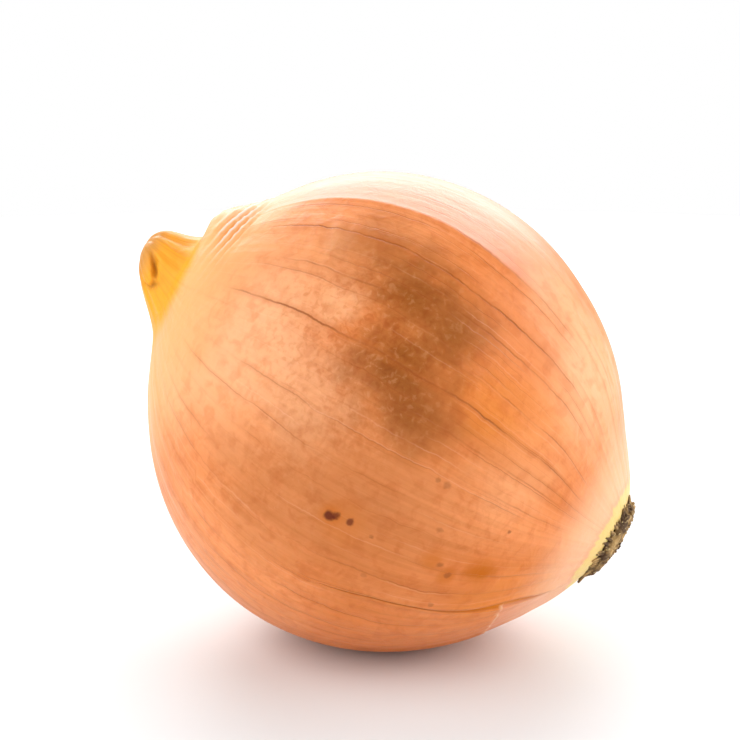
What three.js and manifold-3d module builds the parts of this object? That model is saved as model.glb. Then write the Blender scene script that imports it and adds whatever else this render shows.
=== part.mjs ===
// Yellow onion lying on its side.
//
// Millimetres, +Z up. The origin is the centre of the small flat spot that the onion rests on.
// The onion's growth axis runs from the root tuft, low on the +X side, to the dry neck, high on
// the -X side. Each piece is turned first on its own growth axis, with local Y towards the neck,
// local X towards the bulb's upper side and local Z towards its near side (-Y), and is then laid
// down by restingPose.
import * as THREE from 'three';
import { mergeVertices } from 'three/addons/utils/BufferGeometryUtils.js';
import Module from 'manifold-3d';

const wasm = await Module();
wasm.setup();

// Driving dimensions
const BULB_RADIUS = 40; // the widest ring
const CENTRE_HEIGHT = 38.2; // over the table; it leaves a flat spot about 9 mm in radius
const ROOT_DROP = 28; // degrees that the root end points below level
const ROOT_SWING = 12; // degrees that the root end is swung towards the near side

// Neck end, measured from the bulb's centre along the growth axis (y) and out from it (r)
const SHOULDER = 53; // degrees from the widest ring to where the flare begins
const FLARE_REACH = 9; // how far the flare follows the bulb's own curve
const NECK_ROOT = { r: 9.8, y: 40.8 }; // where the flare meets the neck
const NECK_TOP = { r: 5.6, y: 47 }; // where the neck starts to close
const NECK_TIP = 50;
const NECK_LEAN = { from: 36, by: 4.4 }; // the neck leans towards the upper side
const COLLAR = { rise: 3, r: 15.5, spread: 4.2, halfTurn: 42 }; // fold of dry skin, turn in degrees

// Root end
const HEEL = 55; // degrees from the widest ring to where the cone begins
const HEEL_REACH = 6;
const SEAT = { r: 8.7, y: 41.2 }; // flat face that the root tuft sits on
const SEAT_GAP = 0.3;
const ROOT_LEAN = { from: 36, over: 9, by: 1.2, tilt: 0.05 };

// Unevenness of the round part, as shares of its radius
const OVAL = { size: 0.006, turn: 0.6 };
const LOWER_SIDE = 0.008; // fuller below than above
const THREE_LOBES = 0.004;
const SETTLED = { size: 0.034, power: 8 }; // flattened where it lies
const UPPER_SIDE = { size: 0.05, even: 0.1, most: -0.55 }; // fuller to the neck, slimmer to the root

const TUFT_RADIUS = 8.2;
const TUFT_RIM = 0.8; // height of the tuft's side
const TUFT_CROWN = 3.3; // height of the tuft at its middle
const STUB_COUNT = 42; // trimmed, dried roots
const STUB_RADIUS = 0.62;
const STUB_LENGTH = 2.6;
const STUB_BURIED = 1.4;
const STUB_SPLAY = 35; // degrees that the outermost stubs lean out
const GOLDEN_TURN = 137.5; // degrees between one stub and the next

const TURN_STEPS = 64;
const CURVE_STEPS = 8;
const DEGREE = Math.PI / 180;

// ---------------------------------------------------------------- helpers

// A closed mesh as a solid: shared vertices are joined and slivers at the poles are dropped.
function solidOf(geometry) {
  geometry.deleteAttribute('normal');
  geometry.deleteAttribute('uv');
  const joined = mergeVertices(geometry, 1e-4);
  const index = joined.index.array;
  const triangles = [];
  for (let i = 0; i < index.length; i += 3) {
    const [a, b, c] = index.slice(i, i + 3);
    if (a !== b && b !== c && c !== a) triangles.push(a, b, c);
  }
  return new wasm.Manifold(new wasm.Mesh({
    numProp: 3,
    vertProperties: new Float32Array(joined.attributes.position.array),
    triVerts: new Uint32Array(triangles),
  }));
}

function geometryOf(solid) {
  const { vertProperties, triVerts } = solid.getMesh();
  const geometry = new THREE.BufferGeometry();
  geometry.setAttribute('position', new THREE.BufferAttribute(vertProperties, 3));
  geometry.setIndex(new THREE.BufferAttribute(triVerts, 1));
  geometry.computeVertexNormals();
  return geometry;
}

function bell(distance, spread) {
  return Math.exp(-((distance / spread) ** 2));
}

// Lays the growth axis down: neck up on the -X side, root down on the +X side, centre over origin.
function restingPose() {
  const drop = ROOT_DROP * DEGREE;
  const swing = ROOT_SWING * DEGREE;
  const neckward = new THREE.Vector3(
    -Math.cos(drop) * Math.cos(swing),
    Math.cos(drop) * Math.sin(swing),
    Math.sin(drop),
  );
  const upperSide = new THREE.Vector3(0, 0, 1).addScaledVector(neckward, -neckward.z).normalize();
  const nearSide = new THREE.Vector3().crossVectors(upperSide, neckward);
  return new THREE.Matrix4()
    .makeBasis(upperSide, neckward, nearSide)
    .setPosition(0, 0, CENTRE_HEIGHT);
}

// ---------------------------------------------------------------- bulb

// Half outline of the bulb from the middle of the root seat round to the neck's tip.
function bulbOutline() {
  const heel = -HEEL * DEGREE;
  const shoulder = SHOULDER * DEGREE;
  const onBulb = (angle) => [BULB_RADIUS * Math.cos(angle), BULB_RADIUS * Math.sin(angle)];
  const along = (angle, reach) => {
    const [r, y] = onBulb(angle);
    return [r - reach * Math.sin(angle), y + reach * Math.cos(angle)];
  };
  const outline = new THREE.Path();
  outline.moveTo(0, -SEAT.y);
  outline.lineTo(SEAT.r, -SEAT.y);
  outline.bezierCurveTo(SEAT.r + 4.6, -SEAT.y + 1.4, ...along(heel, -HEEL_REACH), ...onBulb(heel));
  outline.absarc(0, 0, BULB_RADIUS, heel, shoulder, false);
  outline.bezierCurveTo(
    ...along(shoulder, FLARE_REACH), NECK_ROOT.r + 3, NECK_ROOT.y - 2.2, NECK_ROOT.r, NECK_ROOT.y);
  outline.bezierCurveTo(
    NECK_ROOT.r - 2, NECK_ROOT.y + 2.2, NECK_TOP.r + 1.4, NECK_TOP.y - 2, NECK_TOP.r, NECK_TOP.y);
  outline.bezierCurveTo(NECK_TOP.r - 1.4, NECK_TIP - 1, 2, NECK_TIP, 0, NECK_TIP);
  return outline.getPoints(CURVE_STEPS).map((p) => new THREE.Vector2(Math.max(p.x, 0), p.y));
}

// An onion is never quite round: a turned shape gets soft lobes, leaning ends and the collar.
function growUneven(geometry) {
  const place = geometry.attributes.position;
  for (let i = 0; i < place.count; i += 1) {
    let [x, y, z] = [place.getX(i), place.getY(i), place.getZ(i)];
    const radius = Math.hypot(x, z);
    const turn = Math.atan2(z, x);
    const share = Math.min(radius / BULB_RADIUS, 1);
    const lobes = share * (OVAL.size * Math.cos(2 * turn - OVAL.turn)
      - LOWER_SIDE * Math.cos(turn) + THREE_LOBES * Math.cos(3 * turn));
    const upper = UPPER_SIDE.size * Math.max(0, x / BULB_RADIUS)
      * Math.max(UPPER_SIDE.most, y / BULB_RADIUS - UPPER_SIDE.even);
    x *= (1 + lobes) * (1 + upper);
    z *= (1 + lobes) * (1 + upper);
    y *= 1 + upper;
    const drop = ROOT_DROP * DEGREE;
    const down = -(x * Math.cos(drop) + y * Math.sin(drop)) / Math.hypot(x, y, z);
    const settled = 1 - SETTLED.size * Math.max(0, down) ** SETTLED.power;
    x *= settled;
    y *= settled;
    z *= settled;

    const neckward = Math.max(0, (y - NECK_LEAN.from) / (NECK_TIP - NECK_LEAN.from));
    const rootward = Math.max(0, (-y - ROOT_LEAN.from) / ROOT_LEAN.over);
    x += NECK_LEAN.by * neckward ** 1.5 + ROOT_LEAN.by * rootward ** 1.5;
    y -= ROOT_LEAN.tilt * x * rootward;

    const fold = bell(radius - COLLAR.r, COLLAR.spread) * bell(turn / DEGREE, COLLAR.halfTurn);
    if (y > 0) y += COLLAR.rise * fold;
    place.setXYZ(i, x, y, z);
  }
  return geometry;
}

function makeBulb(pose) {
  const turned = growUneven(new THREE.LatheGeometry(bulbOutline(), TURN_STEPS));
  const resting = solidOf(turned.applyMatrix4(pose));
  const ground = new THREE.BoxGeometry(3 * BULB_RADIUS, 3 * BULB_RADIUS, BULB_RADIUS);
  ground.translate(0, 0, -BULB_RADIUS / 2);
  return geometryOf(resting.subtract(solidOf(ground)));
}

// ---------------------------------------------------------------- root tuft

function makeRootTuft(pose) {
  const seat = -(SEAT.y + SEAT_GAP);
  const dome = new THREE.Path();
  dome.moveTo(0, seat - TUFT_CROWN);
  dome.bezierCurveTo(
    TUFT_RADIUS / 2, seat - TUFT_CROWN, TUFT_RADIUS, seat - TUFT_RIM - 1.2, TUFT_RADIUS, seat - TUFT_RIM);
  dome.lineTo(TUFT_RADIUS, seat);
  dome.lineTo(0, seat);
  let tuft = solidOf(new THREE.LatheGeometry(dome.getPoints(8), 40));

  for (let i = 0; i < STUB_COUNT; i += 1) {
    const share = Math.sqrt((i + 0.5) / STUB_COUNT);
    const turn = i * GOLDEN_TURN * DEGREE;
    const out = share * (TUFT_RADIUS - 1.2 * STUB_RADIUS);
    const length = STUB_LENGTH * (0.85 + 0.15 * Math.sin(2.4 * i));
    const stub = new THREE.CylinderGeometry(STUB_RADIUS, 0.7 * STUB_RADIUS, length, 7);
    stub.translate(0, -length / 2 + STUB_BURIED, 0);
    stub.rotateZ(share * STUB_SPLAY * DEGREE);
    stub.translate(out, seat - THREE.MathUtils.lerp(TUFT_CROWN, TUFT_RIM, share ** 3), 0);
    stub.rotateY(-turn);
    tuft = tuft.add(solidOf(stub));
  }
  const seatSide = new THREE.BoxGeometry(3 * TUFT_RADIUS, TUFT_RADIUS, 3 * TUFT_RADIUS);
  seatSide.translate(0, seat + TUFT_RADIUS / 2, 0);
  return growUneven(geometryOf(tuft.subtract(solidOf(seatSide)))).applyMatrix4(pose);
}

// ---------------------------------------------------------------- assembly

const onion = new THREE.Group();
const pose = restingPose();

const bulb = new THREE.Mesh(
  makeBulb(pose),
  new THREE.MeshStandardMaterial({ color: 0xd98a52, roughness: 0.45, metalness: 0 }),
);
bulb.name = 'bulb';
onion.add(bulb);

const rootTuft = new THREE.Mesh(
  makeRootTuft(pose),
  new THREE.MeshStandardMaterial({ color: 0x6d4c2e, roughness: 0.95, metalness: 0 }),
);
rootTuft.name = 'root_tuft';
onion.add(rootTuft);

export default onion;
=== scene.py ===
# %% [markdown]
# # A yellow onion lying on its side
# The onion is one grown bulb with a dried neck, and a tuft of trimmed roots at its other end.
# The fixed frame holds the sizes and the spot it rests on. This lesson makes its looks: papery
# skin with veins, a split in that skin, the withered neck, and the corky root plate.

# %% Load the fixed frame
import math
import random

import bmesh
import bpy
from mathutils import Matrix, Vector, noise
from mathutils.geometry import interpolate_bezier


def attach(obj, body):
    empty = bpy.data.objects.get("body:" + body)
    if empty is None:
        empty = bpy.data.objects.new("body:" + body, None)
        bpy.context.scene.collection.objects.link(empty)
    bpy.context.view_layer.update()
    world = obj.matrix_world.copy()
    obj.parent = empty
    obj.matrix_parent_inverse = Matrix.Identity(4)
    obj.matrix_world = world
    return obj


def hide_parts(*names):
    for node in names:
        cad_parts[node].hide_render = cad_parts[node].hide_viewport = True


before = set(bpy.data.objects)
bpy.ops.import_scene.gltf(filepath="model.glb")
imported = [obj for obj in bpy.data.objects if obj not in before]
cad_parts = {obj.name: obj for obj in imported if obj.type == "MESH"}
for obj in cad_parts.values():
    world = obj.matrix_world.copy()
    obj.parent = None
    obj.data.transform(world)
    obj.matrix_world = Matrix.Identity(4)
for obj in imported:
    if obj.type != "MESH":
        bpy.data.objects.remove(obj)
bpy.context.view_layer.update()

MM = 0.001
print("frame nodes:", sorted(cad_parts))

# %% [markdown]
# ## Where the onion lies
# An onion grows round an axis from its roots to its neck, so everything is shaped upright on that
# axis, in millimetres, and laid down at the end. Upright, X faces the near side, Y the upper side
# and Z the neck. One matrix does the laying down, so that every piece gets the same pose.

# %% The resting pose
BULB_RADIUS = 40
CENTRE_HEIGHT = 38.2
ROOT_DROP = math.radians(28)
ROOT_SWING = math.radians(12)

neckward = Vector((
    -math.cos(ROOT_DROP) * math.cos(ROOT_SWING),
    math.cos(ROOT_DROP) * math.sin(ROOT_SWING),
    math.sin(ROOT_DROP),
))
upper_side = (Vector((0, 0, 1)) - neckward.z * neckward).normalized()
near_side = upper_side.cross(neckward)
bulb_centre = Vector((0, 0, CENTRE_HEIGHT))
lay_down = (
    Matrix.Scale(MM, 4)
    @ Matrix.Translation(bulb_centre)
    @ Matrix((near_side, upper_side, neckward)).transposed().to_4x4()
)
print("neck points to", [round(n, 3) for n in neckward])

# %% [markdown]
# ## The outline
# A bulb is nearly round in every cut across its axis, so half an outline can be turned into the
# whole. It could be sculpted from a ball, but an outline keeps the sizes exact. Its round stretch
# is an arc and the others are Bezier curves, so few numbers hold the shape.

# %% Points and curves of the outline
SHOULDER = 53
FLARE_REACH = 9
NECK_ROOT = (9.8, 40.8)
NECK_TOP = (5.6, 47.0)
NECK_TIP = 50
HEEL = -55
HEEL_REACH = 6
SEAT = (7.4, -41.9)
TEAR_LATITUDES = (-53.9, -54.1, -54.3)


def on_bulb(latitude, reach=0):
    angle = math.radians(latitude)
    r = BULB_RADIUS * math.cos(angle) - reach * math.sin(angle)
    z = BULB_RADIUS * math.sin(angle) + reach * math.cos(angle)
    return (r, z)


def curve(start, handle_1, handle_2, end, rows):
    knots = [Vector((r, 0, z)) for r, z in (start, handle_1, handle_2, end)]
    return interpolate_bezier(*knots, rows)[1:]


print("the neck starts", NECK_ROOT[1], "mm above the bulb's middle and the shoulder is at",
      [round(n, 1) for n in on_bulb(SHOULDER)])

# %% [markdown]
# From the roots up, the outline is a flat seat, a cone, the round belly, a flare, and the neck with
# its closed tip. The rows are less than a millimetre apart, because the skin's creases are cut into
# this mesh. Where the skin is torn there are three extra rows, so that the torn edge is sharp.

# %% Rows of the outline
def bulb_outline():
    heel, shoulder = on_bulb(HEEL), on_bulb(SHOULDER)
    points = [Vector((SEAT[0] * share, 0, SEAT[1])) for share in (0, 0.4, 0.7, 0.9, 1)]
    cone_handle = (SEAT[0] + 4.6, SEAT[1] + 1.4)
    points += curve(SEAT, cone_handle, on_bulb(HEEL, -HEEL_REACH), heel, 26)
    latitudes = [HEEL + 1.15 * i for i in range(1, 95)] + list(TEAR_LATITUDES)
    for latitude in sorted(a for a in latitudes if a < SHOULDER):
        r, z = on_bulb(latitude)
        points.append(Vector((r, 0, z)))
    throat_handle = (NECK_ROOT[0] + 3, NECK_ROOT[1] - 2.2)
    points += curve(shoulder, on_bulb(SHOULDER, FLARE_REACH), throat_handle, NECK_ROOT, 42)
    lower_handle = (NECK_ROOT[0] - 2, NECK_ROOT[1] + 2.2)
    upper_handle = (NECK_TOP[0] + 1.4, NECK_TOP[1] - 2)
    points += curve(NECK_ROOT, lower_handle, upper_handle, NECK_TOP, 17)
    points += curve(NECK_TOP, (NECK_TOP[0] - 1.4, NECK_TIP - 1), (2, NECK_TIP), (0, NECK_TIP), 18)
    return points


print("rows in the outline:", len(bulb_outline()))

# %% [markdown]
# ## Small helpers for shaping
# A bell fades a dent or a bump out sideways, a ramp switches something on between two values, and
# a short list of pairs gives a value anywhere along a route. Turns are in degrees from the near
# side, rising towards the upper side. "From the neck" is an angle too, 0 at the neck's tip. With
# only these few tools, every crease below is one line of sums.

# %% Shaping helpers
def bell(distance, spread):
    return math.exp(-((distance / spread) ** 2))


def ramp(low, high, value):
    share = min(max((value - low) / (high - low), 0), 1)
    return share * share * (3 - 2 * share)


def along_route(pairs, where):
    for (start, first), (end, last) in zip(pairs, pairs[1:]):
        if where <= end:
            share = min(max((where - start) / (end - start), 0), 1)
            return first + (last - first) * share
    return pairs[-1][1]


def turn_apart(turn, other):
    return (turn - other + 180) % 360 - 180


def round_noise(turn, z, around, along, shift=0.0):
    angle = math.radians(turn)
    place = Vector((around * math.cos(angle), around * math.sin(angle), along * z + shift))
    return noise.noise(place)


print("half a millimetre from a 1 mm bell's middle, it still has", round(bell(0.5, 1), 2))

# %% [markdown]
# ## An uneven bulb
# No onion is a turned solid. It has soft lobes, a fuller upper shoulder, an underside that has
# settled flat, a neck that leans, a root end set a little off the axis, and a collar of dry skin
# over the neck's upper side. A lattice could bend a finished mesh, but a function of the place is
# exact and can be asked where any mark ends up. These are the frame's own numbers.

# %% Uneven growth
NECK_LEAN_FROM, NECK_LEAN = 36, 4.4
ROOT_LEAN_FROM, ROOT_LEAN_OVER, ROOT_LEAN, ROOT_TILT = 36, 9, 1.2, 0.05
COLLAR_RISE, COLLAR_R, COLLAR_SPREAD, COLLAR_HALF_TURN = 3, 15.5, 4.2, 42


def grow_uneven(x, y, z):
    radius = math.hypot(x, y)
    from_top = math.atan2(x, y)
    share = min(radius / BULB_RADIUS, 1)
    oval = 0.006 * math.cos(2 * from_top - 0.6)
    lobes = share * (oval - 0.008 * math.cos(from_top) + 0.004 * math.cos(3 * from_top))
    upper = 0.05 * max(0, y / BULB_RADIUS) * max(-0.55, z / BULB_RADIUS - 0.1)
    x *= (1 + lobes) * (1 + upper)
    y *= (1 + lobes) * (1 + upper)
    z *= 1 + upper
    down = -(y * math.cos(ROOT_DROP) + z * math.sin(ROOT_DROP)) / math.hypot(x, y, z)
    settled = 1 - 0.034 * max(0, down) ** 8
    x, y, z = x * settled, y * settled, z * settled

    up_neck = max(0, (z - NECK_LEAN_FROM) / (NECK_TIP - NECK_LEAN_FROM))
    down_root = max(0, (-z - ROOT_LEAN_FROM) / ROOT_LEAN_OVER)
    y += NECK_LEAN * up_neck**1.5 + ROOT_LEAN * down_root**1.5
    z -= ROOT_TILT * y * down_root
    if z > 0:
        side = bell(math.degrees(from_top), COLLAR_HALF_TURN)
        z += COLLAR_RISE * bell(radius - COLLAR_R, COLLAR_SPREAD) * side
    return Vector((x, y, z))


leaning_tip = grow_uneven(0, 0.01, NECK_TIP)
print("the neck's tip moves from", (0, 0, NECK_TIP), "to", [round(n, 1) for n in leaning_tip])

# %% [markdown]
# ## The split in the skin
# Dry outer skin splits lengthwise, between two veins. A dark line in the material could hint at it,
# but close up only real depth looks right, and a boolean cut would leave untidy faces. So the
# columns of the mesh beside the split are drawn together, which gives it edges, walls and a floor.

# %% Route of the split
COLUMNS = 480
COLUMN_TURN = 360 / COLUMNS
SPLIT_COLUMN = -35
SPLIT_REACH = 12
SPLIT_ROUTE = [(95, -27.2), (102, -26), (110, -24.8), (120, -25.2), (131, -26.8),
               (142, -27.2), (148, -28.6), (154, -30.4), (162, -33.5)]
SPLIT_WIDTH = [(97, 0), (104, 0.2), (125, 0.3), (134, 0.7), (141, 1.5), (146, 2.1), (151, 1.6), (160, 0)]
SPLIT_DEPTH = [(130, 0.35), (142, 0.24)]


def split_column(column, radius, from_neck):
    """The turn of a column near the split, and how far the skin there is let in."""
    width = along_route(SPLIT_WIDTH, from_neck)
    gape = ramp(0.02, 0.14, width)
    steps = abs(column)
    edge = [0, width / 2, width / 2 + 0.05, width / 2 + 0.34]
    last = math.radians(SPLIT_REACH * COLUMN_TURN)
    room = min(1, radius / 20) / max(radius, 1)
    if steps <= 3:
        angle = edge[steps] * room
    else:
        share = ((steps - 3) / (SPLIT_REACH - 3)) ** 1.3
        angle = edge[3] * room + (last - edge[3] * room) * share
    fade = 1 - ramp(0, SPLIT_REACH, steps)
    wander = (along_route(SPLIT_ROUTE, from_neck) - SPLIT_COLUMN * COLUMN_TURN) * fade
    turn = SPLIT_COLUMN * COLUMN_TURN + wander + math.copysign(math.degrees(angle), column)
    depth = along_route(SPLIT_DEPTH, from_neck)
    lift = gape * (-depth if steps <= 1 else 0.1 * bell(steps - 2.5, 2))
    return turn, lift, gape if steps <= 1 else 0


print("the split is", max(w for _, w in SPLIT_WIDTH), "mm wide at its widest")

# %% [markdown]
# Near the roots, where the split gapes, the outermost skin below it is torn across as well and has
# come away. That layer is only a tenth of a millimetre thick, so the surface is let in by that much,
# along a ragged line. The line's own share is kept apart, for the pale lip it will get later.

# %% The torn layer
TEAR_AT = 144.1
TEAR_DEPTH = 0.12


def torn_away(turn, from_neck):
    """How much of the outermost skin is missing below the split's wide end, and its pale lip."""
    below = turn_apart(turn, along_route(SPLIT_ROUTE, from_neck))
    edge = TEAR_AT + 0.5 * noise.noise(Vector((turn * 0.25, 0, 3)))
    across = ramp(-78, -60, below) * (below < -0.1)
    missing = ramp(edge - 0.12, edge + 0.12, from_neck) * (1 - ramp(156, 162, from_neck)) * across
    return missing, bell(from_neck - edge, 0.2) * across


print("a torn layer", TEAR_DEPTH, "mm thick ends", TEAR_AT, "degrees from the neck")

# %% [markdown]
# ## Relief of the skin
# The skin shrinks on the bulb as it dries, so it shows what lies under it: shallow dents, long soft
# ribs from root to neck, a fold where one leaf's edge lies under the skin, and short gathers
# across the ribs beside the neck. They could be a bump in the material, but in the mesh they also
# bend the outline. All of them are offsets along the surface, in millimetres.

# %% Relief of the bulb
FOLD_TURN = 67
GATHERS = {"turn": 51, "from_neck": 61.5, "pitch": 4.8, "height": 0.17}
COLLAR_GATHERS = {"turn": 66, "from_neck": 30, "pitch": 3.1, "height": 0.42}


def skin_relief(turn, from_neck, z):
    dents = 0.22 * round_noise(turn, z, 1.3, 0.03) + 0.12 * round_noise(turn, z, 3.5, 0.06, 7)
    ribs = 0.10 * round_noise(turn, z, 9, 0.02, 3) + 0.05 * round_noise(turn, z, 26, 0.03, 11)

    past = turn_apart(turn, FOLD_TURN)
    fold_run = ramp(42, 60, from_neck) * (1 - ramp(92, 125, from_neck))
    fold = fold_run * (0.14 * bell(past, 1.1) - 0.12 * bell(past + 5, 4))

    g = GATHERS
    slant = from_neck + 0.25 * (turn - g["turn"])
    gathers = g["height"] * math.cos(2 * math.pi * slant / g["pitch"])
    gathers *= bell(from_neck - g["from_neck"], 7) * bell(turn_apart(turn, g["turn"]), 8)

    return dents + ribs + fold + gathers


def collar_wave(turn, from_neck, z):
    c = COLLAR_GATHERS
    slant = from_neck - 0.16 * (turn - c["turn"]) + 0.9 * round_noise(turn, z, 2, 0.1, 5)
    wave = math.cos(2 * math.pi * slant / c["pitch"])
    return wave * bell(from_neck - c["from_neck"], 5) * bell(turn_apart(turn, c["turn"]), 24)


print("the collar's gathers are", COLLAR_GATHERS["height"], "mm high and repeat every",
      COLLAR_GATHERS["pitch"], "degrees")

# %% [markdown]
# ## The neck
# The neck is all the leaves' tops, dried and shrunk together. It gets flats and furrows along it,
# a tip that folds in on itself, and the withered slot where the last leaves closed. Cosines give
# the regular flats, and noise without its sign gives furrows with sharp ridges between them.

# %% Relief of the neck
SLOT = {"turn": 11, "z": 45.2, "half_turn": 12, "half_z": 0.85, "slant": 0.067, "depth": 1.3}
CREASE = {"turn": -9, "z": 44.6, "half_turn": 15, "half_z": 0.4, "slant": -0.085, "depth": 0.6}


def in_hollow(turn, z, hollow):
    across = turn_apart(turn, hollow["turn"])
    up = z - hollow["z"] - hollow["slant"] * across + 0.9 * round_noise(turn, z, 5, 0.5, 6)
    return bell(across, hollow["half_turn"]) * bell(up, hollow["half_z"])


def neck_relief(turn, z):
    up = ramp(38.5, 43, z)
    flats = 0.35 * math.cos(math.radians(2 * (turn - 20))) + 0.25 * math.cos(math.radians(3 * turn + 40))
    furrows = 0.55 * abs(round_noise(turn, z, 2.6, 0.05, 2)) + 0.2 * round_noise(turn, z, 6, 0.12, 8)
    tip = ramp(46.5, 49.5, z) * 0.6 * round_noise(turn, z, 1.8, 0.4, 4)
    rim = 0.3 * bell(turn_apart(turn, SLOT["turn"]), 20) * bell(z - SLOT["z"], 2.2)
    hollows = sum(hollow["depth"] * in_hollow(turn, z, hollow) for hollow in (SLOT, CREASE))
    return up * (flats - furrows + tip + rim - hollows)


print("the neck's slot is", SLOT["depth"], "mm deep")

# %% [markdown]
# ## Turning the bulb
# Spinning the outline makes the bulb in one operator, as on a lathe. A Screw modifier would do it
# too, but the mesh is needed at once, to be shaped. The spin's last column lies on its first, so
# doubles are merged. A second helper turns any finished mesh into a piece that rides on the frame.

# %% Spin an outline, and finish a piece
def spin_outline(outline, columns):
    bm = bmesh.new()
    chain = [bm.verts.new(point) for point in outline]
    edges = [bm.edges.new(pair) for pair in zip(chain, chain[1:])]
    bmesh.ops.spin(
        bm, geom=chain + edges, cent=(0, 0, 0), axis=(0, 0, 1), dvec=(0, 0, 0),
        angle=2 * math.pi, steps=columns, use_merge=True, use_normal_flip=False)
    bmesh.ops.remove_doubles(bm, verts=bm.verts, dist=1e-4)
    bmesh.ops.recalc_face_normals(bm, faces=bm.faces)
    return bm


def finished_piece(name, bm):
    mesh = bpy.data.meshes.new(name)
    bm.to_mesh(mesh)
    bm.free()
    mesh.shade_smooth()
    piece = bpy.data.objects.new(name, mesh)
    bpy.context.scene.collection.objects.link(piece)
    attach(piece, "root")
    return piece


print("columns round the bulb:", COLUMNS)

# %% [markdown]
# ## Shaping the skin
# Each vertex of the turned bulb looks up its column and row, and moves: first round the axis beside
# the split, then out by its relief, and last by the uneven growth. Attributes remember what the
# colours need later, so colour and shape can't drift apart. "Grain" keeps the turn a vertex started
# with, so that veins follow every wander of the skin. It holds a cosine and a sine, which have no
# seam.

# %% Shape the bulb's skin
def shape_skin(bm):
    grain = bm.verts.layers.float_vector.new("grain")
    bared = bm.verts.layers.float.new("bared")
    crack_shade = bm.verts.layers.float.new("crack_shade")
    missing = bm.verts.layers.float.new("missing")
    lip = bm.verts.layers.float.new("torn_lip")
    gathered = bm.verts.layers.float.new("gathered")
    for vert in bm.verts:
        x, y, z = vert.co
        radius = math.hypot(x, y)
        turn = math.degrees(math.atan2(y, x))
        from_neck = math.degrees(math.atan2(radius, z))
        vert[grain] = (math.cos(math.radians(turn)), math.sin(math.radians(turn)), z / BULB_RADIUS)
        column = round(turn / COLUMN_TURN) - SPLIT_COLUMN
        lift = 0
        if abs(column) <= SPLIT_REACH and 60 < from_neck < 175:
            turn, lift, vert[bared] = split_column(column, radius, from_neck)
            # The narrow part of the split is darkened here as painted shade.
            vert[crack_shade] = vert[bared] * (1 - ramp(122, 134, from_neck))
        torn, vert[lip] = torn_away(turn, from_neck)
        vert[missing] = torn
        wave = vert[gathered] = collar_wave(turn, from_neck, z)
        body = ramp(8, 14, radius)
        neck = ramp(36, 40, z)
        out = lift - TEAR_DEPTH * torn + COLLAR_GATHERS["height"] * wave
        out += body * skin_relief(turn, from_neck, z)
        if neck:
            out += neck * neck_relief(turn, z) * ramp(0, 4, radius)
            # The neck's slot and crease are darkened as painted shade.
            vert[crack_shade] = 0.6 * in_hollow(turn, z, SLOT) + 0.55 * in_hollow(turn, z, CREASE)
        radius = max(radius + out * (radius > 0), 0)
        angle = math.radians(turn)
        z += out * z / BULB_RADIUS * (1 - neck)
        vert.co = grow_uneven(radius * math.cos(angle), radius * math.sin(angle), z)


print("attributes to fill: grain, bared, crack, missing, torn_lip and gathered")

# %% [markdown]
# The bulb is now turned, shaped and laid down. No point may dip below the floor, so those that would
# are lifted to it. The finished skin takes the place of the frame's plain bulb.

# %% Make the bulb
skin_bm = spin_outline(bulb_outline(), COLUMNS)
shape_skin(skin_bm)
bmesh.ops.transform(skin_bm, matrix=lay_down, verts=skin_bm.verts)
for vert in skin_bm.verts:
    vert.co.z = max(vert.co.z, 0)
onion_skin = finished_piece("onion_skin", skin_bm)
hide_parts("bulb")
print("onion_skin:", len(onion_skin.data.polygons), "faces")

# %% [markdown]
# ## The root plate
# The roots grow from a corky plate, a low dome that crumbles as it dries. A smooth dome with a bump
# would keep a clean rim, so the mesh itself is broken up, with two sizes of noise. It sits on the
# bulb's seat with a hair's gap.

# %% Root plate
TUFT_RADIUS = 6.9
TUFT_RIM = 0.4
TUFT_CROWN = 1.8
SEAT_GAP = 0.3
seat_z = SEAT[1] - SEAT_GAP


def tuft_outline():
    points = [Vector((TUFT_RADIUS * share, 0, seat_z)) for share in (0, 0.6, 1)]
    rim, crown = (TUFT_RADIUS, seat_z - TUFT_RIM), (0, seat_z - TUFT_CROWN)
    foot = (TUFT_RADIUS, seat_z)
    points += curve(foot, (foot[0], foot[1] - 0.3), (rim[0], rim[1] + 0.2), rim, 4)
    points += curve(rim, (rim[0], rim[1] - 1.2), (rim[0] / 2, crown[1]), crown, 26)
    return points


plate_bm = spin_outline(tuft_outline(), 110)
for vert in plate_bm.verts:
    x, y, z = vert.co
    crumble = ramp(0, TUFT_RIM, seat_z - z)
    lump = noise.noise(vert.co * 0.55) * 0.55 + noise.noise(vert.co * 1.6) * 0.35
    out = Vector((x, y, 2 * (z - seat_z))).normalized() * lump * crumble
    vert.co = grow_uneven(x + out.x, y + out.y, min(z + out.z, seat_z))
bmesh.ops.transform(plate_bm, matrix=lay_down, verts=plate_bm.verts)
root_plate = finished_piece("root_plate", plate_bm)
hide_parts("root_tuft")
print("root_plate:", len(root_plate.data.polygons), "faces")

# %% [markdown]
# ## Root stubs
# Each root was trimmed and has dried to a short, crooked stub. Curves with a bevel could make them,
# with many more faces. Here one stub is a six-sided ring, extruded three times with a shrink and a
# nudge. The dice are seeded, so every run throws the same numbers.

# %% One root stub
dice = random.Random(7)


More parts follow.
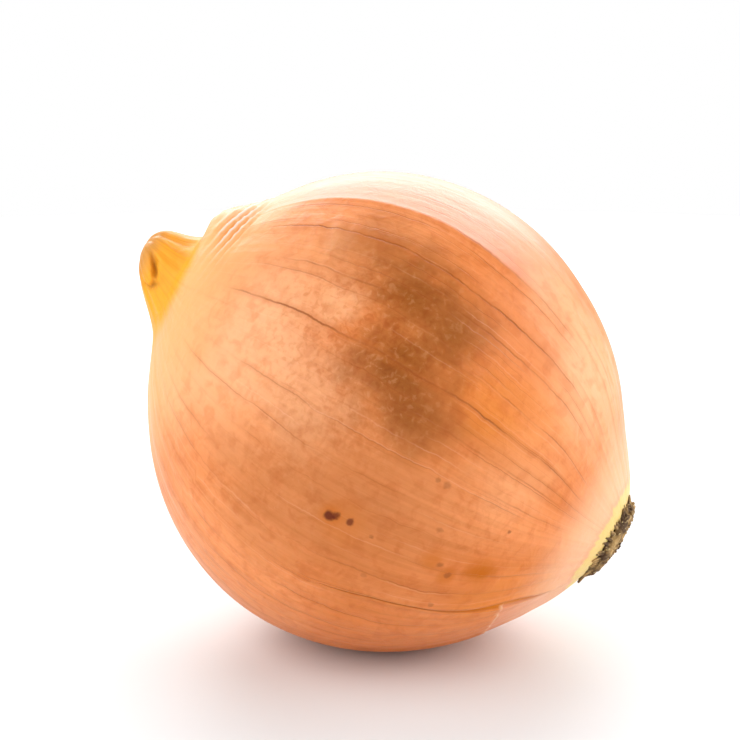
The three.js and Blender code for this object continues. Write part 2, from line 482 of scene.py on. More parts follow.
def root_stub(bm, foot, direction, length, thickness, taper=(0.75, 1.0), crook=0.35):
    tilt = direction.to_track_quat("Z", "Y").to_matrix().to_4x4()
    ring = bmesh.ops.create_circle(
        bm, cap_ends=True, segments=6, radius=thickness, matrix=Matrix.Translation(foot) @ tilt)
    tip = list(ring["verts"][0].link_faces)
    heading = direction.copy()
    for share in (0.4, 0.35, 0.25):
        made = bmesh.ops.extrude_face_region(bm, geom=tip)
        bmesh.ops.delete(bm, geom=tip, context="FACES_ONLY")
        tip = [e for e in made["geom"] if isinstance(e, bmesh.types.BMFace)]
        corners = [e for e in made["geom"] if isinstance(e, bmesh.types.BMVert)]
        nudge = Vector([dice.uniform(-crook, crook) for _ in range(3)])
        heading = (heading + nudge).normalized()
        bmesh.ops.translate(bm, verts=corners, vec=heading * length * share)
        middle = sum((corner.co for corner in corners), Vector()) / len(corners)
        shrink = dice.uniform(*taper)
        for corner in corners:
            corner.co = middle + (corner.co - middle) * shrink * dice.uniform(0.85, 1.15)


print("a stub is a ring extruded three times")

# %% [markdown]
# The stubs stand all over the plate and lean outward near its rim. Turning each new one by the
# golden angle spreads them evenly without rows, as seeds are spread in a flower head. Random places
# would leave gaps and clumps.

# %% Root stubs
GOLDEN_TURN = math.radians(137.508)
STUB_COUNT = 190


def dome_z(radius):
    share = min(radius / TUFT_RADIUS, 1)
    return seat_z - TUFT_RIM - (TUFT_CROWN - TUFT_RIM) * math.sqrt(1 - share**2.4)


stub_bm = bmesh.new()
for i in range(STUB_COUNT):
    share = math.sqrt((i + 0.5) / STUB_COUNT)
    turn = i * GOLDEN_TURN
    radius = share * TUFT_RADIUS
    foot = Vector((radius * math.cos(turn), radius * math.sin(turn), dome_z(radius) + 0.5))
    lean = Vector((0.7 * math.cos(turn) * share**3, 0.7 * math.sin(turn) * share**3, -1 + 0.4 * share**4))
    length = dice.uniform(0.7, 1.3) * (1 - 0.4 * share)
    root_stub(stub_bm, foot, lean.normalized(), length, dice.uniform(0.26, 0.5))
print("trimmed stubs:", STUB_COUNT)

# %% [markdown]
# Round the plate the oldest roots have withered to thorns that lie on the pale base of the bulb.
# They use the same stub, thinner and with more taper, and they point up the bulb's cone.

# %% Withered thorns round the plate
THORN_COUNT = 64
THORN_TAPER = (0.6, 0.82)
for i in range(THORN_COUNT):
    turn = 2 * math.pi * (i + dice.uniform(-0.3, 0.3)) / THORN_COUNT
    outward = Vector((math.cos(turn), math.sin(turn), 0))
    foot = outward * (SEAT[0] - 0.5) + Vector((0, 0, SEAT[1] - 0.35))
    lean = (outward + Vector((0, 0, dice.uniform(0.36, 0.56)))).normalized()
    length = dice.uniform(1.0, 2.4)
    root_stub(stub_bm, foot, lean, length, dice.uniform(0.3, 0.48), THORN_TAPER, 0.14)
for vert in stub_bm.verts:
    vert.co = grow_uneven(*vert.co)
bmesh.ops.recalc_face_normals(stub_bm, faces=stub_bm.faces)
bmesh.ops.transform(stub_bm, matrix=lay_down, verts=stub_bm.verts)
root_stubs = finished_piece("root_stubs", stub_bm)
print("root_stubs:", len(root_stubs.data.polygons), "faces")

# %% [markdown]
# ## Nodes by name
# A material is a small network. It could be wired by hand in the shader editor, but in code it can
# be read and repeated. This helper makes one node, sets its options, and either links an input or
# gives it a value.

# %% Node helper
def add_node(material, kind, inputs=None, **options):
    tree = material.node_tree
    made = tree.nodes.new(kind)
    for option, value in options.items():
        setattr(made, option, value)
    for name, value in (inputs or {}).items():
        if isinstance(value, bpy.types.NodeSocket):
            tree.links.new(value, made.inputs[name])
        else:
            made.inputs[name].default_value = value
    return made


def new_finish(name):
    material = bpy.data.materials.new(name)
    material.use_nodes = True
    return material, material.node_tree.nodes["Principled BSDF"]


print("node helper ready")

# %% [markdown]
# Three kinds of node are used again and again: sums, a soft switch between two values, and a blend of
# two colours. Each gets a function that hands back the socket to go on with, so that a long network
# reads from top to bottom.

# %% Sums, switches and blends
def maths(material, operation, first, second=0.0, third=0.0):
    made = add_node(material, "ShaderNodeMath", {0: first, 1: second, 2: third}, operation=operation)
    return made.outputs[0]


def switch(material, value, low, high, to_low=0.0, to_high=1.0):
    settings = {"Value": value, "From Min": low, "From Max": high, "To Min": to_low, "To Max": to_high}
    made = add_node(material, "ShaderNodeMapRange", settings, interpolation_type="SMOOTHSTEP")
    return made.outputs["Result"]


def blend_colour(material, share, first, second, how="MIX"):
    made = add_node(material, "ShaderNodeMix", data_type="RGBA", blend_type=how)
    tree = material.node_tree
    for socket, value in zip((made.inputs[0], made.inputs[6], made.inputs[7]), (share, first, second)):
        if isinstance(value, bpy.types.NodeSocket):
            tree.links.new(value, socket)
        else:
            socket.default_value = value
    return made.outputs[2]


print("sums, switches and blends ready")

# %% [markdown]
# ## Papery skin
# Dry onion skin is thin, warm and a little glossy. Its colour is built in layers, as a painter
# would: a warm ground, long brown blushes, fine fibres, and then marks. A painted image would need
# a flattened bulb; noise read in space doesn't. What runs along the bulb reads the grain attribute,
# and what has no direction reads the place itself.

# %% Papery skin: ground and fibres
skin, skin_shader = new_finish("papery_skin")
grain = add_node(skin, "ShaderNodeAttribute", attribute_name="grain").outputs["Vector"]
grain_parts = add_node(skin, "ShaderNodeSeparateXYZ", {"Vector": grain})
along = grain_parts.outputs["Z"]
here = add_node(skin, "ShaderNodeTexCoord").outputs["Object"]


def grain_noise(around, lengthwise, detail=3.0, roughness=0.55, shift=0.0):
    place = add_node(
        skin, "ShaderNodeMapping",
        {"Vector": grain, "Scale": (around, around, lengthwise), "Location": (0, 0, shift)})
    made = add_node(
        skin, "ShaderNodeTexNoise",
        {"Vector": place.outputs["Vector"], "Scale": 1.0, "Detail": detail, "Roughness": roughness})
    return made.outputs["Fac"]


def even_noise(scale, detail=2.0, distortion=0.0):
    made = add_node(
        skin, "ShaderNodeTexNoise",
        {"Vector": here, "Scale": scale, "Detail": detail, "Distortion": distortion})
    return made.outputs["Fac"]


print("papery skin: two kinds of noise ready")

# %% [markdown]
# Broad areas wander between a warm orange and a peach. Over them lie long brown streaks, and then
# fibres that are much finer. All three come from one noise, stretched along the bulb and read at
# three different scales.

# %% Papery skin: the first three colours
WARM = (0.74, 0.225, 0.058, 1)
PEACH = (0.86, 0.31, 0.11, 1)
BROWN = (0.52, 0.14, 0.026, 1)
broad = grain_noise(1.6, 1.4, detail=2)
streaks = grain_noise(6, 0.6, detail=3, shift=4)
fibres = grain_noise(45, 1.6, detail=4, roughness=0.6, shift=9)
colour = blend_colour(skin, switch(skin, broad, 0.35, 0.65), WARM, PEACH)
colour = blend_colour(skin, switch(skin, streaks, 0.45, 0.75, 0.0, 0.3), colour, BROWN)
colour = blend_colour(skin, switch(skin, fibres, 0.3, 0.75, 0.0, 0.3), colour, BROWN)
print("papery skin: ground ready")

# %% [markdown]
# ## Blushes on the skin
# Some marks belong to one place. They could be painted on the vertices, but the mesh is too coarse
# for small spots. So one function finds the place on the resting bulb from a turn and an angle from
# the neck, and a second one fades a mark out with the distance from it. A little noise on that
# distance keeps the edges from being round.

# %% Papery skin: places
def skin_place(turn, from_neck):
    spread, angle = math.radians(from_neck), math.radians(turn)
    r, z = BULB_RADIUS * math.sin(spread), BULB_RADIUS * math.cos(spread)
    return lay_down @ grow_uneven(r * math.cos(angle), r * math.sin(angle), z)


wavy = maths(skin, "MULTIPLY", maths(skin, "SUBTRACT", even_noise(160), 0.5), 9 * MM)
ragged = maths(skin, "MULTIPLY", maths(skin, "SUBTRACT", even_noise(800), 0.5), 1.2 * MM)


def near_place(turn, from_neck, size, softness, strength, unevenness):
    point = skin_place(turn, from_neck)
    gap = add_node(skin, "ShaderNodeVectorMath", {0: here, 1: point}, operation="DISTANCE")
    gap = maths(skin, "ADD", gap.outputs["Value"], unevenness)
    return switch(skin, gap, size * MM * (1 - softness), size * MM, strength, 0.0)


print("the near side's middle lies at", [round(n / MM, 1) for n in skin_place(0, 90)], "mm")

# %% [markdown]
# ## Brown, pale and amber patches
# Brown patches are partly the skin's own blush and partly painted shade: those round the near
# side's middle darken the middle of the bulb, where little light falls. Pale patches are partly
# thin skin and partly painted sheen where the side panels light the bulb. Each patch is one row
# of numbers, so it can be moved without touching the nodes.
# Pale ones are mixed first and brown ones last, because brown hides the others.

# %% Papery skin: patches
# The brown patches round the near side's middle are painted shade; the others are the skin's blush.
DARK_PATCHES_AND_SHADE = [  # turn, from the neck, radius in mm, strength
    (47, 83, 9, 0.75), (43, 97, 10, 0.7), (34, 92, 13, 0.65), (25, 93, 11, 0.6), (20, 102, 9, 0.55),
    (53, 73, 12, 0.5), (58, 84, 6, 0.4), (27, 84, 9, 0.45), (41, 87, 7, 0.5), (4, 92, 30, 0.3),
    (-4, 100, 20, 0.16), (-14, 77, 16, 0.28), (168, 70, 14, 0.4), (-140, 95, 16, 0.4),
    (110, 60, 10, 0.3),
]
# The large pale patches near turn 28 and turn 75 are painted sheen from the side panels; the rest is thin
# skin.
PALE_PATCHES_AND_SHEEN = [
    (34, 73, 5, 0.5), (28, 57, 19, 0.65), (8, 54, 20, 0.6), (12, 76, 14, 0.5), (-12, 40, 14, 0.5),
    (52, 61, 5, 0.3), (74, 132, 20, 0.85), (50, 134, 13, 0.35), (-70, 60, 12, 0.3), (76, 112, 12, 0.6),
    (22, 128, 11, 0.3),
]
AMBER_PATCHES = [(32, 111, 7, 0.6), (36, 122, 13, 0.45), (-22, 140, 12, 0.5), (140, 130, 12, 0.3)]
PATCH_BROWN_AND_SHADE = (0.275, 0.078, 0.009, 1)
PALE_AND_SHEEN = (0.93, 0.47, 0.24, 1)
AMBER = (0.78, 0.235, 0.03, 1)
for patches, tint in ((PALE_PATCHES_AND_SHEEN, PALE_AND_SHEEN), (AMBER_PATCHES, AMBER), (DARK_PATCHES_AND_SHADE, PATCH_BROWN_AND_SHADE)):
    for turn, from_neck, size, strength in patches:
        patch = near_place(turn, from_neck, size, 0.95, strength, wavy)
        colour = blend_colour(skin, patch, colour, tint)
print("papery skin:", len(DARK_PATCHES_AND_SHADE) + len(PALE_PATCHES_AND_SHEEN) + len(AMBER_PATCHES), "patches")

# %% [markdown]
# ## Mottling
# Close up, dry skin is finely crinkled. One small noise darkens and lightens it in squiggles, mostly
# on the near side where the skin is driest, and a wider one makes soft blotches. Multiplying by a
# tint keeps the colour warm, where mixing in a brown would grey it.

# %% Papery skin: mottling
MOTTLE_TINT = (0.80, 0.62, 0.45, 1)
wrinkles = even_noise(1000, detail=4, distortion=0.5)
coarse_wrinkles = even_noise(420, detail=5, distortion=0.5)
mottled_zone = maths(
    skin, "MAXIMUM", near_place(28, 80, 26, 0.8, 1.0, wavy),
    switch(skin, grain_noise(2.2, 2.2, shift=14), 0.45, 0.65, 0.1, 0.45))
darker_specks = maths(skin, "MULTIPLY", switch(skin, wrinkles, 0.47, 0.66, 0.0, 0.55), mottled_zone)
colour = blend_colour(skin, darker_specks, colour, MOTTLE_TINT, "MULTIPLY")
paler_specks = maths(skin, "MULTIPLY", switch(skin, wrinkles, 0.46, 0.32, 0.0, 0.16), mottled_zone)
colour = blend_colour(skin, paler_specks, colour, PALE_AND_SHEEN)
broad_mottle = switch(skin, coarse_wrinkles, 0.45, 0.7, 0.0, 0.45)
colour = blend_colour(skin, broad_mottle, colour, MOTTLE_TINT, "MULTIPLY")
print("papery skin: mottling ready")

# %% [markdown]
# ## Veins
# All veins run from root to neck and hardly branch. A wave texture would space them evenly, which
# no onion does. A Voronoi texture of one dimension, fed with the turn, puts lines at uneven
# spacings, and its distance to the edge makes them equally thin. The same small wander is added to
# the turn everywhere, so neighbours bend together.

# %% Papery skin: lines of equal width
turn_here = maths(
    skin, "MULTIPLY", maths(skin, "ARCTAN2", grain_parts.outputs["Y"], grain_parts.outputs["X"]),
    math.degrees(1))
wander = maths(skin, "SUBTRACT", grain_noise(0.7, 1.8, detail=6, roughness=0.6, shift=1), 0.5)
wandering_turn = maths(skin, "ADD", turn_here, maths(skin, "MULTIPLY", wander, 6.0))


def vein_lines(spacing, width, shift):
    place = maths(skin, "ADD", maths(skin, "DIVIDE", wandering_turn, spacing), shift)
    made = add_node(
        skin, "ShaderNodeTexVoronoi", {"W": place, "Scale": 1.0},
        voronoi_dimensions="1D", feature="DISTANCE_TO_EDGE")
    return switch(skin, made.outputs["Distance"], 0.0, width / spacing, 1.0, 0.0)


def fade_in_and_out(strength, shift, low=0.42, high=0.62):
    return switch(skin, grain_noise(7, 2.0, detail=2, shift=shift), low, high, 0.0, strength)


print("papery skin: lines of equal width ready")

# %% [markdown]
# The strongest veins have their own places. Each is a line at one turn, which starts and ends along
# the axis, with a soft brown halo on both sides. A coarse noise thins them here and there.

# %% Papery skin: main veins
MAIN_VEINS = [  # turn, from and to along the axis (1 is at the neck, -1 at the roots), strength
    (28.6, 0.72, -0.85, 1.0), (54, 0.7, -0.62, 0.95), (41.6, 0.55, 0.1, 0.7), (66.8, 0.3, -0.5, 0.5),
    (20.5, -0.1, -0.8, 0.5), (47.0, -0.1, -0.75, 0.55), (36.0, -0.3, -0.9, 0.5), (13.0, -0.4, -0.9, 0.4),
    (98, 0.6, -0.8, 0.8), (139, 0.7, -0.6, 0.9), (-62, 0.7, -0.8, 0.7), (-104, 0.5, -0.8, 0.8),
    (-151, 0.7, -0.5, 0.7), (172, 0.3, -0.8, 0.8),
]
main_veins, vein_halo = 0.0, 0.0
for turn, start, end, strength in MAIN_VEINS:
    off = maths(skin, "ABSOLUTE", maths(skin, "SUBTRACT", wandering_turn, turn))
    line = switch(skin, off, 0.05, 0.4, strength, 0.0)
    begun = switch(skin, along, start + 0.1, start - 0.1)
    run = maths(skin, "MULTIPLY", begun, switch(skin, along, end - 0.1, end + 0.1))
    main_veins = maths(skin, "MAXIMUM", maths(skin, "MULTIPLY", line, run), main_veins)
    halo = maths(skin, "MULTIPLY", switch(skin, off, 0.2, 2.0, 0.3 * strength, 0.0), run)
    vein_halo = maths(skin, "MAXIMUM", halo, vein_halo)
vein_presence = switch(skin, grain_noise(5, 5, shift=3), 0.35, 0.62, 0.25, 1)
main_veins = maths(skin, "MULTIPLY", main_veins, vein_presence)
print("papery skin:", len(MAIN_VEINS), "main veins")

# %% [markdown]
# Between them run many weaker ones, which fade in and out, and a few pale scratches. They aren't
# added up: the strongest of the kinds wins at every point, so that crossings don't get darker.

# %% Papery skin: all veins together
some_veins = maths(skin, "MULTIPLY", vein_lines(6.5, 0.22, 0.3), fade_in_and_out(0.42, 2))
fine_veins = maths(skin, "MULTIPLY", vein_lines(2.6, 0.2, 7.1), fade_in_and_out(0.2, 6, 0.45, 0.7))
veins = maths(skin, "MAXIMUM", main_veins, maths(skin, "MAXIMUM", some_veins, fine_veins))
soft_bands = maths(skin, "MULTIPLY", vein_lines(6.5, 1.3, 0.3), fade_in_and_out(0.22, 2))
LINE_PALE = (0.97, 0.58, 0.36, 1)
VEIN_BROWN = (0.27, 0.055, 0.005, 1)
colour = blend_colour(skin, maths(skin, "MAXIMUM", soft_bands, vein_halo), colour, BROWN)
colour = blend_colour(skin, maths(skin, "MULTIPLY", veins, 0.72), colour, VEIN_BROWN)
pale_lines = maths(skin, "MULTIPLY", vein_lines(3.4, 0.26, 2.9), fade_in_and_out(0.15, 17, 0.48, 0.66))
colour = blend_colour(skin, pale_lines, colour, LINE_PALE)
print("papery skin: veins ready")

# %% [markdown]
# ## The leaf's edge
# One inner leaf ends near the top of the bulb. Past its edge the outer skin lies on pale flesh, so it
# looks pink, and that pink is made paler still as a painted highlight for the bright rim along the
# top. The mask follows the same wandering turn as the veins, so the edge runs beside them. It starts
# sharply and fades out behind.

# %% Papery skin: past the fold
FOLD_PINK_AND_RIM_HIGHLIGHT = (0.95, 0.53, 0.42, 1)
# Partly painted highlight: the pale pink also stands in for the back light on the top rim.
past_fold_rim_highlight = switch(skin, wandering_turn, FOLD_TURN - 0.6, FOLD_TURN + 0.5, 0.0, 0.6)
past_fold_rim_highlight = maths(skin, "MULTIPLY", past_fold_rim_highlight, switch(skin, turn_here, FOLD_TURN + 60, FOLD_TURN + 12))
past_fold_rim_highlight = maths(skin, "MULTIPLY", past_fold_rim_highlight, switch(skin, along, -0.45, 0.05))
colour = blend_colour(skin, past_fold_rim_highlight, colour, FOLD_PINK_AND_RIM_HIGHLIGHT)
print("papery skin: the leaf's edge lies at", FOLD_TURN, "degrees")

# %% [markdown]
# ## Spots and stains
# Small maroon spots and amber stains mark where the skin was bruised. Noise could scatter them, but
# real ones are few and each is different, so they are listed. Stains have wide soft edges, spots
# are small and ragged, and both use the same mask as the patches.

# %% Papery skin: spots and stains
SPOT_BROWN = (0.11, 0.011, 0.002, 1)
SPOTS = [  # turn, from the neck, radius in mm, strength
    (-8.3, 93.3, 0.95, 0.9), (-7.5, 94.6, 0.7, 0.8), (-7.4, 98.0, 0.75, 0.75), (-8.5, 103.8, 0.5, 0.4),
    (10.7, 112.8, 0.75, 0.3), (10.7, 110.7, 0.5, 0.3), (-0.3, 116.4, 0.6, 0.25), (-9.7, 120.7, 0.7, 0.4),
    (-12.5, 123.8, 0.65, 0.4), (5.4, 132.8, 0.45, 0.6), (-23.7, 123.8, 0.5, 0.3), (-19, 106.1, 0.6, 0.2),
    (152, 84, 1.1, 0.8), (159, 88, 0.7, 0.6), (118, 104, 0.6, 0.5), (-110, 70, 0.9, 0.6),
    (-136, 112, 0.8, 0.5),
]
STAINS = [
    (-9.1, 118.7, 2.6, 0.55), (-12, 124, 2.2, 0.5), (-10.2, 131, 3.6, 0.6), (-10.7, 127.9, 1.6, 0.6),
    (-10.3, 129.6, 1.8, 0.8), (-10, 131.3, 1.9, 1.0), (-9.6, 133, 1.8, 0.8), (-9.2, 134.8, 1.6, 0.6),
    (-8, 97, 6, 0.35), (-8, 94, 2.6, 0.5), (160, 92, 5, 0.4), (-120, 76, 5, 0.4),
]
STAIN_AMBER = (0.54, 0.13, 0.002, 1)
for turn, from_neck, size, strength in STAINS:
    stain = near_place(turn, from_neck, size, 0.8, strength, maths(skin, "MULTIPLY", wavy, 0.3))
    colour = blend_colour(skin, stain, colour, STAIN_AMBER)
for turn, from_neck, size, strength in SPOTS:
    spot = near_place(turn, from_neck, size * 1.15, 0.7, strength, ragged)
    colour = blend_colour(skin, spot, colour, SPOT_BROWN)
print("papery skin:", len(SPOTS), "spots and", len(STAINS), "stains")

# %% [markdown]
# ## The neck's colours
# Towards the neck the skin turns to cream and then to gold, with brown streaks in its furrows and a
# tan, withered tip. The far side gets less cream and more tan and brown as painted shade, which keeps
# the back of the neck, lit by the strong lights behind, from washing out. Most of it is placed by the
# way along the axis, because these colours run round the neck in bands.

# %% Papery skin: neck
NECK_GOLD = (0.92, 0.38, 0.022, 1)
NECK_BROWN = (0.50, 0.15, 0.015, 1)
NECK_CREAM = (0.91, 0.50, 0.20, 1)
TIP_TAN_AND_SHADE = (0.56, 0.25, 0.06, 1)
ragged_along = maths(skin, "ADD", along, maths(skin, "MULTIPLY", grain_noise(9, 3, shift=21), 0.05))
# Painted shade: the far side of the neck is darkened with less cream and more tan and brown.
far_side_shade = switch(skin, maths(skin, "ABSOLUTE", turn_here), 60, 120, 0.0, 1.0)
cream = maths(skin, "MULTIPLY", switch(skin, along, 0.6, 0.95), switch(skin, far_side_shade, 0, 1, 0.8, 0.35))
colour = blend_colour(skin, cream, colour, NECK_CREAM)
colour = blend_colour(skin, switch(skin, ragged_along, 0.97, 1.03), colour, NECK_GOLD)
far_tan_shade = maths(skin, "MULTIPLY", far_side_shade, switch(skin, along, 0.92, 1.04, 0.0, 0.6))
colour = blend_colour(skin, far_tan_shade, colour, TIP_TAN_AND_SHADE)
neck_streaks = switch(skin, grain_noise(16, 2.0, detail=4, shift=31), 0.44, 0.64, 0.0, 0.8)
neck_streaks = maths(skin, "MULTIPLY", neck_streaks, switch(skin, along, 0.85, 1.05))
neck_streaks = maths(skin, "MULTIPLY", neck_streaks, switch(skin, far_side_shade, 0, 1, 0.3, 1.0))
colour = blend_colour(skin, neck_streaks, colour, NECK_BROWN)
colour = blend_colour(skin, switch(skin, ragged_along, 1.16, 1.24, 0.0, 0.75), colour, TIP_TAN_AND_SHADE)
print("papery skin: neck ready")

# %% [markdown]
# ## The root end's colours
# Near the roots the papery skin grows pale and stops in a ragged, pinkish edge. The inner leaf that
# shows past it is a yellow ring round the root plate. A separate ring of mesh isn't needed, since
# the dry skin is so thin that only its colour ends there.

# %% Papery skin: root end
ROOT_CREAM = (0.93, 0.52, 0.31, 1)
RING_EDGE = (0.80, 0.36, 0.20, 1)
RING_YELLOW = (0.80, 0.56, 0.20, 1)
colour = blend_colour(skin, switch(skin, along, -0.8, -0.98, 0.0, 0.8), colour, ROOT_CREAM)
colour = blend_colour(skin, switch(skin, ragged_along, -0.962, -0.974, 0.0, 0.5), colour, RING_EDGE)
colour = blend_colour(skin, switch(skin, ragged_along, -0.976, -0.988), colour, RING_YELLOW)
print("papery skin: root end ready")

# %% [markdown]
# ## Split, tear, gathers and cracks
# These follow the shape exactly, because their masks are the attributes that the shaping left on the
# vertices: bare flesh in the split, a pale lip along the tear, orange furrows in the gathers and white
# ridges that are a painted highlight, and dark brown painted shade in the narrow part of the split
# and in the neck's hollows.

# %% Papery skin: marks that follow the shape
UNDER_ORANGE = (0.62, 0.17, 0.004, 1)
TORN_EDGE = (0.97, 0.72, 0.50, 1)
RIDGE_HIGHLIGHT_WHITE = (0.93, 0.70, 0.62, 1)
FURROW_ORANGE = (0.82, 0.27, 0.05, 1)
CRACK_SHADE_BROWN = (0.27, 0.08, 0.004, 1)


def from_shape(name):
    return add_node(skin, "ShaderNodeAttribute", attribute_name=name).outputs["Fac"]


gathered = from_shape("gathered")
colour = blend_colour(skin, from_shape("bared"), colour, UNDER_ORANGE)
colour = blend_colour(skin, maths(skin, "MULTIPLY", from_shape("missing"), 0.25), colour, FOLD_PINK_AND_RIM_HIGHLIGHT)
colour = blend_colour(skin, maths(skin, "MULTIPLY", from_shape("torn_lip"), 0.65), colour, TORN_EDGE)
# The gathers' ridges are lightened as a painted highlight.
colour = blend_colour(skin, switch(skin, gathered, 0.1, 0.7, 0, 0.8), colour, RIDGE_HIGHLIGHT_WHITE)
colour = blend_colour(skin, switch(skin, gathered, -0.1, -0.7, 0, 0.75), colour, FURROW_ORANGE)
# Painted shade: brown in the narrow split and in the neck's hollows.
colour = blend_colour(skin, from_shape("crack_shade"), colour, CRACK_SHADE_BROWN)
print("papery skin: all colours ready")

# %% [markdown]
# ## Sheen and relief of the skin
# The light on dry skin is broad and soft, and a little of it passes through. Roughness changes along
# the fibres, and a bump from veins, fibres and mottling breaks the sheen up, because these are too
# fine to be cut into the mesh. Some scattering below the surface softens the shadows.

# %% Papery skin: sheen and bump
height = maths(skin, "MULTIPLY", fibres, 0.35)
height = maths(skin, "ADD", height, maths(skin, "MULTIPLY", veins, -0.7))
crinkles = maths(skin, "MULTIPLY", wrinkles, mottled_zone)
height = maths(skin, "ADD", height, maths(skin, "MULTIPLY", crinkles, 0.8))
height = maths(skin, "ADD", height, maths(skin, "MULTIPLY", coarse_wrinkles, 1.2))
bump = add_node(skin, "ShaderNodeBump", {"Strength": 0.7, "Distance": 0.2 * MM, "Height": height})
tree = skin.node_tree
tree.links.new(colour, skin_shader.inputs["Base Color"])
tree.links.new(switch(skin, streaks, 0.3, 0.7, 0.32, 0.46), skin_shader.inputs["Roughness"])
tree.links.new(bump.outputs["Normal"], skin_shader.inputs["Normal"])
skin_shader.inputs["Subsurface Weight"].default_value = 0.2
skin_shader.inputs["Subsurface Radius"].default_value = (1.0, 0.35, 0.12)
skin_shader.inputs["Subsurface Scale"].default_value = 3 * MM
skin_shader.inputs["Specular IOR Level"].default_value = 0.16
onion_skin.data.materials.append(skin)
print("papery skin:", len(tree.nodes), "nodes in all")

# %% [markdown]
# ## Dried root
# Cork and dried roots are matt and dark, with pale crumbs where they broke. Every stub could have a
# colour of its own, but they are so small that two noises of different size, read in space, do the
# same for all of them. A bump makes the surface crumble.

# %% Dried root
root_finish, root_shader = new_finish("dried_root")
spot_here = add_node(root_finish, "ShaderNodeTexCoord").outputs["Object"]
clumps = add_node(root_finish, "ShaderNodeTexNoise", {"Vector": spot_here, "Scale": 420.0, "Detail": 4.0})
crumbs = add_node(root_finish, "ShaderNodeTexNoise", {"Vector": spot_here, "Scale": 1500.0, "Detail": 3.0})
CORK_DARK = (0.085, 0.042, 0.016, 1)
CORK_TAN = (0.44, 0.27, 0.10, 1)
CRUMB_PALE = (0.70, 0.52, 0.24, 1)
root_colour = blend_colour(
    root_finish, switch(root_finish, clumps.outputs["Fac"], 0.4, 0.62), CORK_DARK, CORK_TAN)
root_colour = blend_colour(
    root_finish, switch(root_finish, crumbs.outputs["Fac"], 0.58, 0.72, 0, 0.8), root_colour, CRUMB_PALE)
root_bump = add_node(
    root_finish, "ShaderNodeBump",
    {"Strength": 0.8, "Distance": 0.25 * MM, "Height": crumbs.outputs["Fac"]})
root_finish.node_tree.links.new(root_colour, root_shader.inputs["Base Color"])
root_finish.node_tree.links.new(root_bump.outputs["Normal"], root_shader.inputs["Normal"])
root_shader.inputs["Roughness"].default_value = 0.9
for piece in (root_plate, root_stubs):
    piece.data.materials.append(root_finish)
print("dried root:", len(root_finish.node_tree.nodes), "nodes in all")

# %% [markdown]
# ## Camera
# A long lens from a little above shows the onion with hardly any perspective. A short lens close by
# would make the near side bulge. The camera aims just above the bulb's middle.

# %% Camera
CAMERA_HEIGHT = math.radians(14)
CAMERA_AWAY = 0.3463
AIM_ABOVE, AIM_LEFT = 0.0075, 0.003
middle = bulb_centre * MM
view = Vector((0, math.cos(CAMERA_HEIGHT), -math.sin(CAMERA_HEIGHT)))
picture_up = Vector((0, math.sin(CAMERA_HEIGHT), math.cos(CAMERA_HEIGHT)))
camera_data = bpy.data.cameras.new("camera")
camera_data.lens = 100
camera_data.clip_start = 0.01
camera = bpy.data.objects.new("camera", camera_data)
camera.location = middle - view * CAMERA_AWAY
aim = middle + picture_up * AIM_ABOVE - Vector((AIM_LEFT, 0, 0))
camera.rotation_euler = (aim - camera.location).to_track_quat("-Z", "Y").to_euler()
bpy.context.scene.collection.objects.link(camera)
bpy.context.scene.camera = camera
print("camera:", camera_data.lens, "mm lens,", CAMERA_AWAY, "m away")

# %% [markdown]
# ## Floor and light
# The studio is a white room with a plain pale floor. A disc is enough for it, and its edge stays
# out of sight because the surround behind it is just as pale.

# %% Floor
FLOOR_RADIUS = 0.5
bm = bmesh.new()
bmesh.ops.create_circle(bm, cap_ends=True, segments=96, radius=FLOOR_RADIUS)
floor_mesh = bpy.data.meshes.new("floor")
bm.to_mesh(floor_mesh)
bm.free()
floor = bpy.data.objects.new("floor", floor_mesh)
bpy.context.scene.collection.objects.link(floor)
floor_finish, floor_shader = new_finish("floor_white")
floor_shader.inputs["Base Color"].default_value = (0.75, 0.77, 0.78, 1)
floor_shader.inputs["Roughness"].default_value = 0.6
floor_mesh.materials.append(floor_finish)
print("floor:", FLOOR_RADIUS, "m in radius")

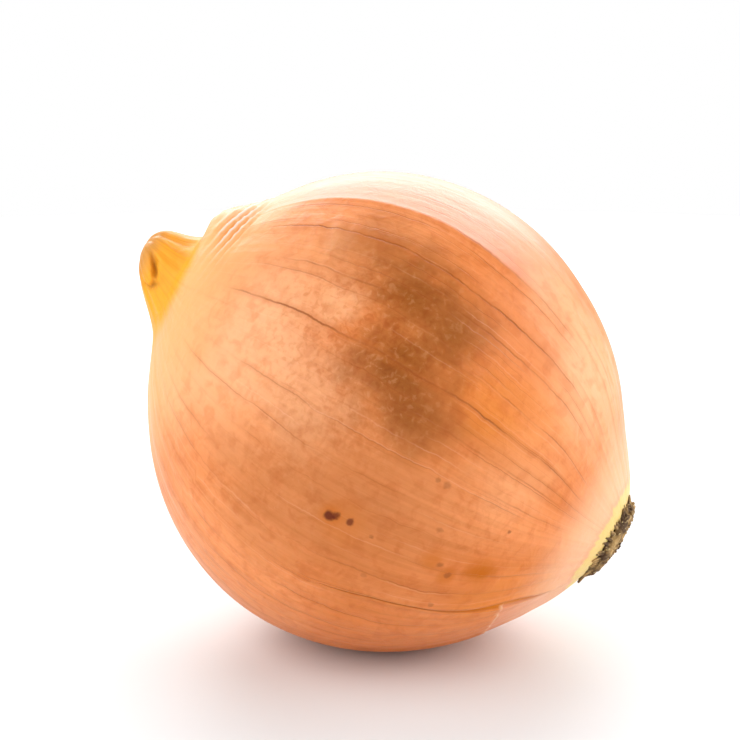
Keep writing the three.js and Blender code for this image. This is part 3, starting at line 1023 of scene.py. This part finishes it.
# %% [markdown]
# Two wide soft panels stand at the left and the right, with a dim gap between them on the viewer's
# side, so that the middle of the bulb stays the darkest part. A weak low one in front reaches under
# the belly, and one above the back brightens the rim. Azimuth 0 is the viewer's side.

# %% Lights
def soft_panel(name, azimuth, distance, elevation, width, height, power):
    data = bpy.data.lights.new(name, "AREA")
    data.shape = "RECTANGLE"
    data.size = width
    data.size_y = height
    data.energy = power
    panel = bpy.data.objects.new(name, data)
    turn, rise = math.radians(azimuth), math.radians(elevation)
    away = Vector((math.sin(turn) * math.cos(rise), -math.cos(turn) * math.cos(rise), math.sin(rise)))
    panel.location = middle + away * distance
    panel.rotation_euler = (-away).to_track_quat("-Z", "Y").to_euler()
    panel.visible_camera = False
    bpy.context.scene.collection.objects.link(panel)


# name, azimuth, distance in metres, elevation, width, height, watts
soft_panel("left_panel", -62, 0.6, 33, 0.8, 0.55, 3.3)
soft_panel("right_panel", 88, 0.6, 20, 0.7, 0.55, 3.6)
soft_panel("low_panel", 0, 0.6, 12, 1.0, 0.3, 0.8)
soft_panel("back_panel", 180, 0.65, 33, 0.7, 0.5, 4.2)
print("lights:", sorted(light.name for light in bpy.data.lights))

# %% [markdown]
# The surround fills the shadows with soft light from everywhere. It is brighter behind the onion than
# on the viewer's side, which keeps the middle of the bulb from looking flat. Where the camera looks
# past the floor it is plain white.

# %% Surround
FRONT_LIGHT, BACK_LIGHT = 0.3, 0.65
world = bpy.data.worlds.new("white_room")
world.use_nodes = True
bpy.context.scene.world = world
sky = world.node_tree.nodes["Background"]
direction = add_node(world, "ShaderNodeTexCoord").outputs["Generated"]
towards_back = add_node(world, "ShaderNodeSeparateXYZ", {"Vector": direction}).outputs["Y"]
strength = switch(world, towards_back, -0.6, 0.6, FRONT_LIGHT, BACK_LIGHT)
seen = add_node(world, "ShaderNodeLightPath").outputs["Is Camera Ray"]
world.node_tree.links.new(maths(world, "MAXIMUM", strength, seen), sky.inputs["Strength"])
sky.inputs["Color"].default_value = (1, 1, 1, 1)
bpy.context.scene.view_settings.view_transform = "Standard"
print("surround: strength", FRONT_LIGHT, "in front and", BACK_LIGHT, "behind")
